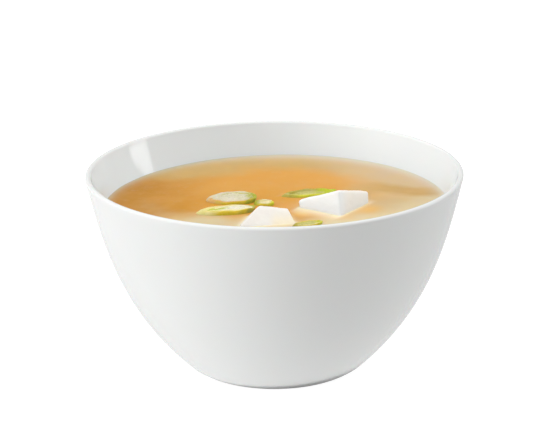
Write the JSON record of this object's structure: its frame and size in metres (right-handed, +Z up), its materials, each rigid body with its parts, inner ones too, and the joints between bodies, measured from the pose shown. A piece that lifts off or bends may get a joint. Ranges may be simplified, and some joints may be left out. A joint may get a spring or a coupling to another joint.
{
  "type": "bowl of soup with tofu and spring onion",
  "caption": "Round white porcelain bowl filled with cloudy amber broth, with tofu blocks and bias-cut slices of spring onion floating in it.",
  "frame": {"origin": "middle of the foot ring, on the surface that the bowl stands on", "axes": "+Z up along the bowl's axis of turning, -Y towards the side that the picture shows"},
  "size_m": [0.15, 0.15, 0.08],
  "materials": {
    "porcelain": "glossy clear glaze over white porcelain",
    "broth": "wet, cloudy amber broth",
    "tofu": "moist, softly porous white curd",
    "spring_onion": "wet green leaf with paler cut layers"
  },
  "bodies": {
    "root": {"bowl": "porcelain", "soup": "broth", "tofu_1": "tofu", "tofu_2": "tofu", "spring_onion_1": "spring_onion", "spring_onion_2": "spring_onion", "spring_onion_3": "spring_onion", "spring_onion_4": "spring_onion", "spring_onion_5": "spring_onion"}
  },
  "joints": []
}
